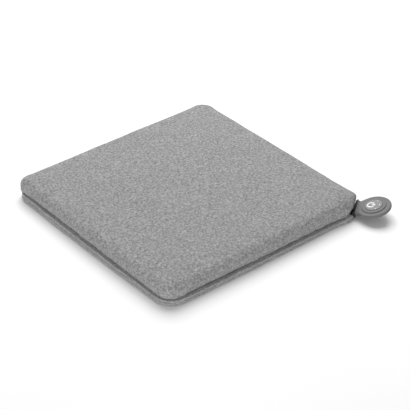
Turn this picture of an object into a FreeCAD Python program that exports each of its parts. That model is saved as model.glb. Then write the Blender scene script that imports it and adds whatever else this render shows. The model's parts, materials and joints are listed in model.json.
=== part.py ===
"""Cordless heated seat cushion: a square felt pad with a battery inside and a control tab at one corner.

Millimetres. The origin is the centre of the underside, +Z is up and the tab leaves the (+X, -Y) corner.
"""

import FreeCAD, Part
import math
import os

from FreeCAD import Vector

OUT = "parts"

# ---- Driving dimensions ----------------------------------------------------------------------
PAD_SIDE = 410.0          # over the seam welt
PAD_HEIGHT = 40.0
PAD_CORNER = 33.5         # plan radius of the welt's corners
COVER_INSET = 3.0         # the felt wall stands this far inside the welt
FELT = 1.6                # thickness of the felt cover
TOP_ROLL = 13.0           # radius where the felt wall rolls over onto the top
WELT_TOP = 9.5            # height of the seam above the floor
WELT_WIDTH = 7.0
BASE_INSET = 1.5          # the base panel's edge, inside the welt's outer face

CORE_SIDE = 394.0
CORE_CORNER = 27.0
CORE_TOP = 27.0
TOPPER_BOTTOM = 28.8
TOPPER_TOP = 38.1
TOPPER_SIDE = 390.0
TOPPER_ROLL = 8.5
LAYER_GAP = 0.2

CARRIER_SIDE = 364.0
CARRIER_THICK = 0.8
RIBBON_WIDTH = 4.0
RIBBON_THICK = 0.6
RIBBON_PASSES = 12
RIBBON_PITCH = 28.0
RIBBON_HALF = 168.0       # half length of each straight pass

CASE_CENTRE = (110.0, -105.0)
CASE_SIZE = (84.0, 82.0)
CASE_BOTTOM = 4.2
CASE_HEIGHT = 22.0
CASE_WALL = 1.5
EAR_OUT = 8.0
EAR_SPREAD = 50.0
EAR_THICK = 3.5
CELL_RADIUS = 9.2
CELL_LENGTH = 65.0
CELL_COUNT = 4
CELL_PITCH = 18.8
LEAD_RADIUS = 0.9
CABLE_RADIUS = 1.5
LEAD_LEVEL = 20.0
LEAD_SPREAD = 7.0         # each heater lead's entry, either side of the case's middle
DUCT_RADIUS = 2.0         # of the ducts through the foam for the leads and the cable

HINGE_OUT = -10.6         # hinge line, measured along the diagonal from the pad's square corner
HINGE_Z = 10.6
TAB_YAW = -10.0           # degrees that the tab is turned from the pad's diagonal, seen from above
TAB_ROLL = 3.0            # degrees that its far edge stands higher than its near edge
TAB_TILT = 13.8           # degrees that it rises from the floor plane at rest
TAB_HALF = 3.0            # half thickness of the tab plate
TAB_ROOT_HALF = 16.6      # half width of the tab where it leaves the collar
HEAD_ALONG = 29.2         # from the hinge line to the centre of the round head
HEAD_RADIUS = 28.8
BEAD_RADIUS = 4.2         # the neck ends in a round bead, held in the collar
BEAD_PLAY = 0.2
BEAD_END_PLAY = 0.3
ROOT_STRAIGHT = 3.0       # the neck's sides run straight this far before they widen
COLLAR_WALL = 1.3
COLLAR_LIP = 0.5          # how far the collar's lips pass the hinge line
COLLAR_END = 1.4
COLLAR_RIM = 1.0          # rounding of the collar's ends

BOSS_RADIUS = 20.5
BOSS_RISE = 1.6
BUTTON_RADIUS = 14.5
BUTTON_RISE = 1.2
BUTTON_GAP = 0.3
BUTTON_TRAVEL = 0.45
CAVITY_RADIUS = 18.0
ICON_BACK = 4.3           # the power symbol's centre, from the button's centre towards the hinge
ICON_RADIUS = 7.0
ICON_STROKE = 2.3

ZIP_HALF = 150.0          # half length of the zip chain, along the back edge
ZIP_Z = 7.2
ZIP_GAP = 1.2             # between the two rows of teeth
ROW_HEIGHT = 1.7
ROW_DEPTH = 2.2
TAPE_THICK = 0.8
TAPE_TOP = 15.5
SLIDER_REST = 144.0
SLIDER_LENGTH = 10.0

# ---- Worked-out sizes ------------------------------------------------------------------------
HALF = PAD_SIDE / 2
WALL = HALF - COVER_INSET                 # outer face of the felt wall
INNER_WALL = WALL - FELT
CORE_BOTTOM = FELT + LAYER_GAP
CARRIER_BOTTOM = CORE_TOP + LAYER_GAP
CARRIER_TOP = CARRIER_BOTTOM + CARRIER_THICK
CASE_TOP = CASE_BOTTOM + CASE_HEIGHT
CASE_MID = CASE_BOTTOM + CASE_HEIGHT / 2
COLLAR_RADIUS = BEAD_RADIUS + BEAD_PLAY + COLLAR_WALL
COLLAR_HALF = TAB_ROOT_HALF + BEAD_END_PLAY + COLLAR_END
BUTTON_TOP = TAB_HALF + BOSS_RISE + BUTTON_RISE
TAPE_Y = WALL - TAPE_THICK - 0.3          # back face of the zip tape
ROW_Y = TAPE_Y + TAPE_THICK / 2 - ROW_DEPTH / 2

# The tab's own axes: along the tab, across it, and out of its top face.
TILT = math.radians(TAB_TILT)
ROLL = math.radians(TAB_ROLL)
HEADING = math.radians(TAB_YAW - 45)
OUTWARD = Vector(math.cos(HEADING), math.sin(HEADING), 0)
ACROSS = Vector(-OUTWARD.y, OUTWARD.x, 0) * math.cos(ROLL) + Vector(0, 0, math.sin(ROLL))
COLLAR_UP = OUTWARD.cross(ACROSS)
ALONG = OUTWARD * math.cos(TILT) + COLLAR_UP * math.sin(TILT)
TAB_UP = COLLAR_UP * math.cos(TILT) - OUTWARD * math.sin(TILT)
HINGE = Vector(HALF, -HALF, 0) + Vector(1, -1, 0).normalize() * HINGE_OUT + Vector(0, 0, HINGE_Z)


def placement(origin, x_axis, y_axis, z_axis):
    """The placement that carries the model axes onto three given axes at a given origin."""
    matrix = FreeCAD.Matrix(
        x_axis.x, y_axis.x, z_axis.x, origin.x,
        x_axis.y, y_axis.y, z_axis.y, origin.y,
        x_axis.z, y_axis.z, z_axis.z, origin.z,
        0, 0, 0, 1,
    )
    return FreeCAD.Placement(matrix)


TAB_FRAME = placement(HINGE, ALONG, ACROSS, TAB_UP)
COLLAR_FRAME = placement(HINGE, OUTWARD, ACROSS, COLLAR_UP)


def placed(shape, frame):
    """A copy of the shape, carried from its own axes into the frame."""
    moved = shape.copy()
    moved.Placement = frame.multiply(moved.Placement)
    return moved


def save(node, *solids):
    """Write one node: every solid in the given shapes."""
    whole = [solid for shape in solids for solid in shape.Solids]
    shape = whole[0] if len(whole) == 1 else Part.makeCompound(whole)
    shape.exportStep(os.path.join(OUT, node + ".step"))


def box(low, high):
    """A box between two corners."""
    size = Vector(*high) - Vector(*low)
    return Part.makeBox(size.x, size.y, size.z, Vector(*low))


def edges_along(shape, direction):
    """The straight edges of a shape that run in a direction."""
    found = []
    for edge in shape.Edges:
        if not isinstance(edge.Curve, Part.Line):
            continue
        if abs(abs(edge.Curve.Direction.dot(direction)) - 1) < 1e-6:
            found.append(edge)
    return found


def edges_at(shape, level):
    """The edges of a shape that lie wholly in the plane z = level."""
    found = []
    for edge in shape.Edges:
        limits = edge.BoundBox
        if max(abs(limits.ZMin - level), abs(limits.ZMax - level)) < 1e-6:
            found.append(edge)
    return found


def rounded_box(low, high, corner, direction=Vector(0, 0, 1)):
    """A box with the four edges along one direction rounded."""
    plain = box(low, high)
    return plain.makeFillet(corner, edges_along(plain, direction))


def slab(half, corner, bottom, top):
    """A square plate with round plan corners, centred on the pad."""
    return rounded_box((-half, -half, bottom), (half, half, top), corner)


def pillow(half, corner, bottom, top, roll):
    """A slab whose top edge is rolled over with a large radius."""
    plain = slab(half, corner, bottom, top)
    return plain.makeFillet(roll, edges_at(plain, top))


def tube_path(points, share=0.45):
    """A wire of straight runs joined by tangent arcs through a list of points."""
    corners = [Vector(*p) for p in points]
    edges = []
    start = corners[0]
    for before, corner, after in zip(corners, corners[1:], corners[2:]):
        into = (corner - before).normalize()
        away = (after - corner).normalize()
        cut = share * min((corner - before).Length, (after - corner).Length)
        turn = into.getAngle(away)
        radius = cut / math.tan(turn / 2)
        first = corner - into * cut
        last = corner + away * cut
        inward = (away - into).normalize()
        middle = corner + inward * (radius / math.cos(turn / 2) - radius)
        edges.append(Part.LineSegment(start, first).toShape())
        edges.append(Part.Arc(first, middle, last).toShape())
        start = last
    edges.append(Part.LineSegment(start, corners[-1]).toShape())
    return Part.Wire(edges)


def lead(points, radius):
    """A round wire that follows the points, with tangent arcs at its corners."""
    path = tube_path(points)
    direction = Vector(*points[1]) - Vector(*points[0])
    section = Part.Wire(Part.makeCircle(radius, Vector(*points[0]), direction))
    return path.makePipeShell([section], True, True)


def largest_solid(shape):
    """The shape without the loose slivers that its cuts leave."""
    return max(shape.Solids, key=lambda solid: solid.Volume)


# ---- The control tab's room in the cushion ---------------------------------------------------
def collar_barrel(play=0.0):
    """The outside of the black collar, a round bar across the pad's corner."""
    half = COLLAR_HALF + play
    bar = Part.makeCylinder(COLLAR_RADIUS + play, 2 * half, Vector(0, -half, 0), Vector(0, 1, 0))
    return placed(bar, COLLAR_FRAME)


def cable_hole():
    """The round way through the collar, the cover and the welt for the cable."""
    length = 5 * COLLAR_RADIUS
    return Part.makeCylinder(CABLE_RADIUS + 0.2, length, Vector(-length, 0, 0), Vector(1, 0, 0))


def slot_collar():
    """Moulded collar that frames the slot in the cover and holds the neck's bead."""
    barrel = collar_barrel()
    rims = [e for e in barrel.Edges if isinstance(e.Curve, Part.Circle)]
    barrel = barrel.makeFillet(COLLAR_RIM, rims)
    bore_half = TAB_ROOT_HALF + BEAD_END_PLAY
    bore_radius = BEAD_RADIUS + BEAD_PLAY
    bore = Part.makeCylinder(bore_radius, 2 * bore_half, Vector(0, -bore_half, 0), Vector(0, 1, 0))
    reach = 2 * COLLAR_RADIUS
    mouth = box((COLLAR_LIP, -COLLAR_HALF, -reach), (reach, COLLAR_HALF, reach))
    barrel = barrel.cut(placed(mouth, TAB_FRAME))
    return barrel.cut(placed(bore, COLLAR_FRAME)).cut(placed(cable_hole(), COLLAR_FRAME))


HINGE_TO_ANCHOR = 3.0     # the tongue starts inside the collar's back and is trimmed to it
ANCHOR_FAR = 34.0
ANCHOR_HALF = 17.0
ANCHOR_LOW = -3.9         # the anchor lies just under the cable
ANCHOR_HIGH = -1.7
ANCHOR_HOLE = 1.2


def anchor_slab(play=0.0):
    """The flat tongue's own volume."""
    low = (-ANCHOR_FAR - play, -ANCHOR_HALF - play, ANCHOR_LOW - play)
    high = (-HINGE_TO_ANCHOR, ANCHOR_HALF + play, ANCHOR_HIGH + play)
    return placed(rounded_box(low, high, 1.0), COLLAR_FRAME)


def anchor_plate():
    """Flat tongue behind the collar, stitched to the inside of the base panel."""
    plate = anchor_slab().cut(collar_barrel())
    for along in (-14.0, -22.0, -30.0):
        for side in (-11.0, 11.0):
            hole = Part.makeCylinder(ANCHOR_HOLE, 2 * ANCHOR_FAR, Vector(along, side, -ANCHOR_FAR))
            plate = plate.cut(placed(hole, COLLAR_FRAME))
    return plate


# ---- The cover -------------------------------------------------------------------------------
ZIP_ROOM = ZIP_HALF + 8.0
LABEL_Y = 120.0           # the label's near end along the right edge
LABEL_WIDTH = 16.0
LABEL_OUT = 9.0


def zip_room():
    """The gap in the back seam that the zip closes."""
    return box((-ZIP_ROOM, INNER_WALL - 4, FELT), (ZIP_ROOM, HALF + 1, TAPE_TOP))


def cover_top_panel():
    """Felt top panel with its rolled edge and wall, down to the seam."""
    outside = pillow(WALL, PAD_CORNER - COVER_INSET, WELT_TOP, PAD_HEIGHT, TOP_ROLL)
    inside = pillow(INNER_WALL, PAD_CORNER - COVER_INSET - FELT, 0, PAD_HEIGHT - FELT, TOP_ROLL - FELT)
    panel = outside.cut(inside)
    for cutter in (zip_room(), collar_barrel(), anchor_slab(0.1), placed(cable_hole(), COLLAR_FRAME)):
        panel = panel.cut(cutter)
    return largest_solid(panel)


def cover_base_panel():
    """Flat base panel."""
    return slab(HALF - BASE_INSET, PAD_CORNER - BASE_INSET, 0, FELT)


def seam_welt():
    """Folded seam band round the foot of the pad, open at the zip and at the collar."""
    outside = slab(HALF, PAD_CORNER, FELT, WELT_TOP)
    outside = outside.makeFillet(2.6, edges_at(outside, WELT_TOP) + edges_at(outside, FELT))
    inside = slab(HALF - WELT_WIDTH, PAD_CORNER - WELT_WIDTH, 0, PAD_HEIGHT)
    welt = outside.cut(inside).cut(zip_room())
    for cutter in (collar_barrel(0.3), anchor_slab(0.1), placed(cable_hole(), COLLAR_FRAME)):
        welt = welt.cut(cutter)
    return largest_solid(welt)


def care_label():
    """Blank folded label caught in the seam of the right edge."""
    low = (WALL, LABEL_Y, WELT_TOP)
    return rounded_box(low, (WALL + LABEL_OUT, LABEL_Y + LABEL_WIDTH, WELT_TOP + 1.0), 0.8)


# ---- The zip ---------------------------------------------------------------------------------
def zip_tape():
    """Two woven tapes, one each side of the chain."""
    low_row = ZIP_Z - ZIP_GAP / 2 - ROW_HEIGHT
    high_row = ZIP_Z + ZIP_GAP / 2 + ROW_HEIGHT
    lower = box((-ZIP_ROOM, TAPE_Y, FELT), (ZIP_ROOM, TAPE_Y + TAPE_THICK, low_row))
    upper = box((-ZIP_ROOM, TAPE_Y, high_row), (ZIP_ROOM, TAPE_Y + TAPE_THICK, TAPE_TOP))
    return lower, upper


def zip_chain():
    """The two rows of teeth, as a plain strip each."""
    rows = []
    for low in (ZIP_Z - ZIP_GAP / 2 - ROW_HEIGHT, ZIP_Z + ZIP_GAP / 2):
        rows.append(box((-ZIP_HALF, ROW_Y, low), (ZIP_HALF, ROW_Y + ROW_DEPTH, low + ROW_HEIGHT)))
    return rows


def zip_stops():
    """A clip over both rows at each end of the chain."""
    half = ZIP_GAP / 2 + ROW_HEIGHT
    stops = []
    for low in (-ZIP_HALF - 2.5, ZIP_HALF + 0.5):
        clip = box((low, ROW_Y - 0.3, ZIP_Z - half), (low + 2.0, ROW_Y + ROW_DEPTH + 0.3, ZIP_Z + half))
        stops.append(clip.makeFillet(0.3, edges_along(clip, Vector(0, 0, 1))))
    return stops


PLATE_THICK = 1.3
PLATE_PLAY = 0.5
PLATE_HALF = 3.9
FRONT_PLATE = ROW_Y + ROW_DEPTH + PLATE_PLAY
BACK_PLATE = ROW_Y - PLATE_PLAY - PLATE_THICK
LUG_Y = FRONT_PLATE + PLATE_THICK + 1.9
PIN_RADIUS = 0.65
PIN_PLAY = 0.08
PULL_LENGTH = 22.0


def zip_slider():
    """Slider: two plates joined by a thin post between the rows, flanges over the rows, and a lug."""
    low_x = SLIDER_REST - SLIDER_LENGTH / 2
    high_x = SLIDER_REST + SLIDER_LENGTH / 2
    low_z = ZIP_Z - PLATE_HALF
    high_z = ZIP_Z + PLATE_HALF
    plates = []
    for near_y in (FRONT_PLATE, BACK_PLATE):
        corner = (high_x, near_y + PLATE_THICK, high_z)
        plates.append(rounded_box((low_x, near_y, low_z), corner, 1.5, Vector(0, 1, 0)))
    front, back = plates
    post = box((low_x + 0.8, BACK_PLATE + 0.5, ZIP_Z - 0.3), (low_x + 3.0, FRONT_PLATE + 0.5, ZIP_Z + 0.3))
    pieces = [back, post]
    flange_in = ZIP_GAP / 2 + ROW_HEIGHT + 0.35
    flange = PLATE_HALF - flange_in
    front_lip = TAPE_Y + TAPE_THICK + 0.4
    back_lip = TAPE_Y - 0.4
    for low in (low_z, ZIP_Z + flange_in):
        high = low + flange
        pieces.append(box((low_x + 2, front_lip, low), (high_x - 2, FRONT_PLATE + 0.5, high)))
        pieces.append(box((low_x + 2, BACK_PLATE + 0.5, low), (high_x - 2, back_lip, high)))
    lug_low = (SLIDER_REST - 2.2, FRONT_PLATE + 0.5, ZIP_Z - 0.8)
    pieces.append(rounded_box(lug_low, (SLIDER_REST + 2.2, LUG_Y + 1.5, ZIP_Z + 0.8), 1.0))
    slider = front.multiFuse(pieces).removeSplitter()
    hole = Part.makeCylinder(PIN_RADIUS + PIN_PLAY, 6, Vector(SLIDER_REST, LUG_Y, ZIP_Z - 3))
    return slider.cut(hole)


def zip_pull():
    """Pull: a cross pin in the slider's lug, two arms and a flat grip with a hole."""
    pin = Part.makeCylinder(PIN_RADIUS, 4.2, Vector(SLIDER_REST, LUG_Y, ZIP_Z - 2.1))
    pieces = []
    for low in (ZIP_Z - 2.1, ZIP_Z + 1.1):
        pieces.append(box((SLIDER_REST - 5.0, LUG_Y - 0.65, low), (SLIDER_REST, LUG_Y + 0.65, low + 1.0)))
        pieces.append(Part.makeCylinder(1.1, 1.0, Vector(SLIDER_REST, LUG_Y, low)))
    far_x = SLIDER_REST - PULL_LENGTH
    through = Vector(0, 1, 0)
    grip_low = (far_x, LUG_Y - 0.65, ZIP_Z - 3.2)
    pieces.append(rounded_box(grip_low, (SLIDER_REST - 3.6, LUG_Y + 0.65, ZIP_Z + 3.2), 2.2, through))
    pull = pin.multiFuse(pieces).removeSplitter()
    window_low = (far_x + 3.5, LUG_Y - 3, ZIP_Z - 1.1)
    return pull.cut(rounded_box(window_low, (SLIDER_REST - 8.5, LUG_Y + 3, ZIP_Z + 1.1), 1.0, through))


# ---- The foam and the heater -----------------------------------------------------------------
CASE_HALF_X = CASE_SIZE[0] / 2
CASE_HALF_Y = CASE_SIZE[1] / 2
CASE_X = CASE_CENTRE[0]
CASE_Y = CASE_CENTRE[1]
RIBBON_END_X = RIBBON_HALF + 10.0
RIBBON_FIRST_Y = -RIBBON_PITCH * (RIBBON_PASSES - 1) / 2
SENSOR = (CASE_X, RIBBON_FIRST_Y + 4.5 * RIBBON_PITCH)
CUTOUT_Y = 0.0
CABLE_RUN = 45.0          # the cable's straight run from the hinge line into the cushion
CABLE_ENTRY = 138.0       # where it turns into the battery case


def heater_lead_routes():
    """Centre lines of the two heater leads, from the ribbon's ends down to the battery case."""
    ends = ((RIBBON_FIRST_Y, CASE_Y - LEAD_SPREAD), (-RIBBON_FIRST_Y, CASE_Y + LEAD_SPREAD))
    wall = CASE_X + CASE_HALF_X - 2 * CASE_WALL
    return [
        [
            (RIBBON_END_X, start_y, CARRIER_TOP),
            (RIBBON_END_X, start_y, LEAD_LEVEL),
            (RIBBON_END_X, case_y, LEAD_LEVEL),
            (wall, case_y, LEAD_LEVEL),
        ]
        for start_y, case_y in ends
    ]


def sensor_lead_route():
    """Centre line of the sensor's wire, from the carrier down to the battery case."""
    wall = CASE_Y + CASE_HALF_Y - 2 * CASE_WALL
    return [(*SENSOR, CARRIER_TOP), (*SENSOR, LEAD_LEVEL), (SENSOR[0], wall, LEAD_LEVEL)]


def cable_route():
    """Centre line of the tab's cable inside the cushion, from the collar to the battery case."""
    start = HINGE - OUTWARD * (BEAD_RADIUS + BEAD_PLAY)
    inside_wall = CASE_Y - CASE_HALF_Y + CASE_WALL + 0.5
    bend = HINGE - OUTWARD * CABLE_RUN
    return [
        tuple(start),
        tuple(bend),
        (CABLE_ENTRY, bend.y, HINGE_Z),
        (CABLE_ENTRY, inside_wall, HINGE_Z),
    ]


def foam_core():
    """Lower foam block with the battery pocket, the cable channels and room for the anchor."""
    core = slab(CORE_SIDE / 2, CORE_CORNER, CORE_BOTTOM, CORE_TOP)
    reach_x = CASE_HALF_X + EAR_OUT + 1
    reach_y = CASE_HALF_Y + 1
    anchor_half = COLLAR_HALF + 1
    cutters = [
        box(
            (CASE_X - reach_x, CASE_Y - reach_y, CASE_BOTTOM - LAYER_GAP),
            (CASE_X + reach_x, CASE_Y + reach_y, CORE_TOP + 1)),
        placed(box((-ANCHOR_FAR - 20, -anchor_half, -7), (20, anchor_half, 7)), COLLAR_FRAME),
        box(
            (RIBBON_END_X - 4, CUTOUT_Y - 9, LEAD_LEVEL - 3),
            (RIBBON_END_X + 4, CUTOUT_Y + 9, CORE_TOP + 1)),
        *[lead(route, DUCT_RADIUS) for route in (*heater_lead_routes(), sensor_lead_route())],
        lead(cable_route(), DUCT_RADIUS),
    ]
    for cutter in cutters:
        core = core.cut(cutter)
    return core


def foam_topper():
    """Soft upper layer over the heater, with a pocket for the temperature sensor."""
    topper = pillow(TOPPER_SIDE / 2, CORE_CORNER, TOPPER_BOTTOM, TOPPER_TOP, TOPPER_ROLL)
    x, y = SENSOR
    return topper.cut(box((x - 5, y - 4, TOPPER_BOTTOM - 1), (x + 5, y + 4, TOPPER_BOTTOM + 1.4)))


def heater_carrier():
    """Textile sheet that carries the heating ribbon, pierced where the leads come up."""
    sheet = slab(CARRIER_SIDE / 2, 20.0, CARRIER_BOTTOM, CARRIER_TOP)
    for x, y in ((RIBBON_END_X, RIBBON_FIRST_Y), (RIBBON_END_X, -RIBBON_FIRST_Y), SENSOR):
        sheet = sheet.cut(Part.makeCylinder(1.4, 10, Vector(x, y, CARRIER_BOTTOM - 5)))
    return sheet


def heater_ribbon():
    """Carbon ribbon laid to and fro: straight passes joined by half rings."""
    half = RIBBON_WIDTH / 2
    turn = RIBBON_PITCH / 2
    ribbon_top = CARRIER_TOP + RIBBON_THICK
    pieces = []
    for number in range(RIBBON_PASSES):
        y = RIBBON_FIRST_Y + number * RIBBON_PITCH
        is_end = number in (0, RIBBON_PASSES - 1)
        right = RIBBON_END_X + 2.5 if is_end else RIBBON_HALF - turn
        pieces.append(box((-RIBBON_HALF + turn, y - half, CARRIER_TOP), (right, y + half, ribbon_top)))
        if number == RIBBON_PASSES - 1:
            continue
        side = -1 if number % 2 == 0 else 1
        centre = Vector(side * (RIBBON_HALF - turn), y + turn, CARRIER_TOP)
        ring = Part.makeCylinder(turn + half, RIBBON_THICK, centre)
        ring = ring.cut(Part.makeCylinder(turn - half, RIBBON_THICK, centre))
        near = centre.x if side > 0 else centre.x - 2 * turn
        keep = box((near, y - RIBBON_WIDTH, CARRIER_TOP), (near + 2 * turn, y + 3 * turn, ribbon_top))
        pieces.append(ring.common(keep))
    return pieces[0].multiFuse(pieces[1:]).removeSplitter()


def thermal_cutout():
    """Overheat cut-out in line with one heater lead."""
    low = (RIBBON_END_X - 3, CUTOUT_Y - 8, LEAD_LEVEL - 2)
    high = (RIBBON_END_X + 3, CUTOUT_Y + 8, LEAD_LEVEL + 2)
    return rounded_box(low, high, 1.5, Vector(0, 1, 0))


def heater_leads():
    """Both heater leads, one of them cut where the thermal cut-out sits."""
    first, second = [lead(route, LEAD_RADIUS) for route in heater_lead_routes()]
    return first, second.cut(thermal_cutout())


def temperature_sensor():
    """Flat sensor bead on the carrier."""
    x, y = SENSOR
    return rounded_box((x - 4, y - 2.5, CARRIER_TOP), (x + 4, y + 2.5, CARRIER_TOP + 1.6), 1.2)


def sensor_lead():
    """Twin wire from the sensor down into the battery case."""
    return lead(sensor_lead_route(), LEAD_RADIUS)


# ---- The battery -----------------------------------------------------------------------------
EAR_X = CASE_HALF_X + EAR_OUT / 2
EAR_SPOTS = [(side * EAR_X, end * EAR_SPREAD / 2) for side in (-1, 1) for end in (-1, 1)]
SCREW_RADIUS = 1.4
SCREW_HEAD = 2.6
SCREW_HEAD_THICK = 2.0
SCREW_SUNK = 1.2          # how far the case screws' heads sit in their ears


def case_half(bottom, top, open_top):
    """One half of the battery case: a tray with four screw ears at the joint."""
    low = (CASE_X - CASE_HALF_X, CASE_Y - CASE_HALF_Y, bottom)
    high = (CASE_X + CASE_HALF_X, CASE_Y + CASE_HALF_Y, top)
    shell = rounded_box(low, high, 4.0)
    outer_level = bottom if open_top else top
    shell = shell.makeFillet(1.6, edges_at(shell, outer_level))
    ear_low = top - EAR_THICK if open_top else bottom
    for dx, dy in EAR_SPOTS:
        inner = -EAR_OUT / 2 - 1 if dx > 0 else -EAR_OUT / 2
        ear = rounded_box(
            (CASE_X + dx + inner, CASE_Y + dy - 4, ear_low),
            (CASE_X + dx + inner + EAR_OUT + 1, CASE_Y + dy + 4, ear_low + EAR_THICK), 2.0)
        shell = shell.fuse(ear)
    floor = bottom + CASE_WALL if open_top else bottom - 1
    roof = top + 1 if open_top else top - CASE_WALL
    room_low = (low[0] + CASE_WALL, low[1] + CASE_WALL, floor)
    room = rounded_box(room_low, (high[0] - CASE_WALL, high[1] - CASE_WALL, roof), 2.5)
    shell = shell.cut(room)
    for dx, dy in EAR_SPOTS:
        shell = shell.cut(screw_at(CASE_X + dx, CASE_Y + dy))
    return shell


def case_openings():
    """Holes in the case walls for the leads and the tab's cable."""
    holes = [lead(route, LEAD_RADIUS) for route in heater_lead_routes()]
    holes.append(sensor_lead())
    holes.append(lead(cable_route(), CABLE_RADIUS))
    return Part.makeCompound(holes)


def screw_at(x, y):
    """A pan-head screw down through a pair of ears."""
    bottom = CASE_MID - EAR_THICK + 0.4
    shank = Part.makeCylinder(SCREW_RADIUS, 2 * EAR_THICK, Vector(x, y, bottom))
    head = Part.makeCylinder(SCREW_HEAD, SCREW_HEAD_THICK, Vector(x, y, CASE_MID + EAR_THICK - SCREW_SUNK))
    return shank.fuse(head).removeSplitter()


def battery_screws():
    """The four case screws, each with a cross recess."""
    screws = []
    for dx, dy in EAR_SPOTS:
        x, y = CASE_X + dx, CASE_Y + dy
        top = CASE_MID + EAR_THICK - SCREW_SUNK + SCREW_HEAD_THICK
        screw = screw_at(x, y)
        for half_x, half_y in ((1.4, 0.3), (0.3, 1.4)):
            screw = screw.cut(box((x - half_x, y - half_y, top - 0.9), (x + half_x, y + half_y, top + 0.1)))
        screws.append(screw)
    return screws


CELL_Z = CASE_BOTTOM + CASE_WALL + CELL_RADIUS + 0.2
CELL_START_Y = CASE_Y - CASE_HALF_Y + CASE_WALL + 2.0
CELL_XS = [CASE_X + (number - (CELL_COUNT - 1) / 2) * CELL_PITCH for number in range(CELL_COUNT)]


def battery_cells():
    """Round lithium cells, side by side, each with a raised pole."""
    cells = []
    for x in CELL_XS:
        body = Part.makeCylinder(CELL_RADIUS, CELL_LENGTH, Vector(x, CELL_START_Y, CELL_Z), Vector(0, 1, 0))
        rims = [e for e in body.Edges if isinstance(e.Curve, Part.Circle)]
        body = body.makeFillet(0.7, rims)
        pole = Part.makeCylinder(3.0, 0.8, Vector(x, CELL_START_Y + CELL_LENGTH, CELL_Z), Vector(0, 1, 0))
        cells.append(body.fuse(pole))
    return cells


def cell_strips():
    """Nickel strips that join the cells at both ends."""
    thick = 0.3
    near_y = CELL_START_Y - thick
    far_y = CELL_START_Y + CELL_LENGTH + 0.8
    pairs = ((0, 1), (2, 3))
    strips = []
    for first, last in pairs:
        strips.append(box(
            (CELL_XS[first] - 4, near_y, CELL_Z - 3), (CELL_XS[last] + 4, near_y + thick, CELL_Z + 3)))
    strips.append(box((CELL_XS[0] - 4, far_y, CELL_Z - 3), (CELL_XS[0] + 4, far_y + thick, CELL_Z + 3)))
    strips.append(box((CELL_XS[1] - 4, far_y, CELL_Z - 3), (CELL_XS[2] + 4, far_y + thick, CELL_Z + 3)))
    strips.append(box((CELL_XS[3] - 4, far_y, CELL_Z - 3), (CELL_XS[3] + 4, far_y + thick, CELL_Z + 3)))
    return strips


BOARD_Y = CELL_START_Y + CELL_LENGTH + 4.0


def battery_board():
    """Charge and protection board, standing beside the cells."""
    low = (CASE_X - 38, BOARD_Y, CASE_BOTTOM + CASE_WALL)
    return box(low, (CASE_X + 38, BOARD_Y + 1.2, LEAD_LEVEL - 1.5))


def battery_board_parts():
    """The larger components on the battery board."""
    chips = []
    for x, width, height, low in ((-30, 7, 6, 8.0), (-14, 9, 7, 7.5), (4, 6, 5, 8.5), (20, 8, 7, 7.5)):
        chips.append(box(
            (CASE_X + x, BOARD_Y + 1.2, low), (CASE_X + x + width, BOARD_Y + 2.8, low + height)))
    return chips


# ---- The tab ---------------------------------------------------------------------------------
SHELL_FLOOR = -1.8        # inside of the lower shell, from the tab's mid plane
LIP_UNDER = TAB_HALF - 0.4
FLANGE_TOP = LIP_UNDER - 0.3
FLANGE_THICK = 0.8
FLANGE_RADIUS = 16.4
BOARD_THICK = 1.0
BOARD_RADIUS = 17.4
RIM_ROUND = 2.2
PORT_WIDTH = 8.94
PORT_HEIGHT = 3.26
PORT_DEPTH = 7.3
PORT_LOW = -PORT_HEIGHT / 2
PORT_MOUTH = HEAD_RADIUS - 1.2
SCREW_RING = 23.4
TAB_SCREW_HEAD = 1.6
TAB_SCREW_SHANK = 0.8
TAB_SCREW_LOW = -TAB_HALF + 0.25          # underside of the tab screws' heads, just inside the tab
POST_RADIUS = 2.2
HEAD = Vector(HEAD_ALONG, 0, 0)


def disc(radius, bottom, top, centre=HEAD):
    """A flat disc in the tab's axes."""
    return Part.makeCylinder(radius, top - bottom, Vector(centre.x, centre.y, bottom))


def tab_outline():
    """Plan outline of the tab: a straight root and a round head, joined by tangent lines."""
    back = HEAD_ALONG - ROOT_STRAIGHT
    angle = math.atan2(TAB_ROOT_HALF, -back) - math.acos(HEAD_RADIUS / math.hypot(back, TAB_ROOT_HALF))
    touch = HEAD + Vector(math.cos(angle), math.sin(angle), 0) * HEAD_RADIUS
    tip = HEAD + Vector(HEAD_RADIUS, 0, 0)
    side = [Vector(ROOT_STRAIGHT, TAB_ROOT_HALF, 0), Vector(0, TAB_ROOT_HALF, 0)]
    far_side = [Vector(p.x, -p.y, 0) for p in reversed(side)]
    far_touch = Vector(touch.x, -touch.y, 0)
    corners = [touch, *side, *far_side, far_touch]
    edges = [Part.LineSegment(a, b).toShape() for a, b in zip(corners, corners[1:])]
    edges.append(Part.Arc(far_touch, tip, touch).toShape())
    return Part.Wire(edges)


def tab_plate(bottom, top):
    """A plate with the tab's outline."""
    face = Part.Face(tab_outline())
    face.translate(Vector(0, 0, bottom))
    return face.extrude(Vector(0, 0, top - bottom))


def bead_half(upper):
    """One half of the round bead that ends the neck."""
    bead = Part.makeCylinder(BEAD_RADIUS, 2 * TAB_ROOT_HALF, Vector(0, -TAB_ROOT_HALF, 0), Vector(0, 1, 0))
    low, high = (0, 2 * BEAD_RADIUS) if upper else (-2 * BEAD_RADIUS, 0)
    return bead.common(box((-2 * BEAD_RADIUS, -HEAD_RADIUS, low), (2 * BEAD_RADIUS, HEAD_RADIUS, high)))


def cable_channel():
    """The bore through the neck for the cable."""
    start = Vector(-2 * BEAD_RADIUS, 0, 0)
    return Part.makeCylinder(CABLE_RADIUS + 0.15, HEAD_ALONG, start, Vector(1, 0, 0))


def rim_edges(shape, level):
    """The outline edges of the plate at one level, without the root's end."""
    return [e for e in edges_at(shape, level) if e.CenterOfMass.x > ROOT_STRAIGHT / 4]


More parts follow.
